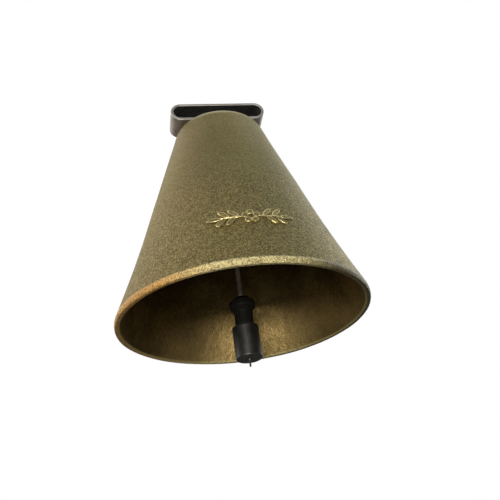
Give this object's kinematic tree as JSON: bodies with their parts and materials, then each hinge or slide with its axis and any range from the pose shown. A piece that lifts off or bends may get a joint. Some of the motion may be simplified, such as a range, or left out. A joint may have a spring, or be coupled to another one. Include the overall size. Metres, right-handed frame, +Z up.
{
  "type": "cowbell",
  "caption": "Cast bronze cowbell with a flat steel strap loop riveted on its crown and a free-swinging clapper with a black striker.",
  "frame": {"origin": "middle of the strap slot, on the bell's axis", "axes": "+Z up the bell's axis, from the mouth to the strap loop; +Y along the way the strap passes through the slot; the raised sprig is on the front, at -Y; +X across the strap"},
  "size_m": [0.12, 0.12, 0.146],
  "materials": {
    "cast_bronze": "sand-cast, dull olive bronze with a worn bright lip",
    "band_steel": "dark mill-finish steel with lighter worn edges",
    "fastener_steel": "dull plain steel",
    "rod_steel": "drawn grey steel wire",
    "black_plastic": "satin black moulding"
  },
  "bodies": {
    "bell": {"bell_shell": "cast_bronze", "strap_loop": "band_steel", "rivet_washer": "fastener_steel", "crown_washer": "fastener_steel"},
    "hanger": {"eye_pin": "fastener_steel"},
    "clapper": {"clapper_rod": "rod_steel", "clapper_knob": "black_plastic", "striker_sleeve": "black_plastic"}
  },
  "joints": [
    {"name": "hanger_swivel", "type": "hinge", "parent": "bell", "child": "hanger", "pos_m": [0, 0, -0.0221], "axis": [0, 0, 1], "continuous": true},
    {"name": "clapper_swing", "type": "hinge", "parent": "hanger", "child": "clapper", "pos_m": [0, 0, -0.0221], "axis": [1, 0, 0], "range_deg": [-27.5, 27.5]}
  ]
}
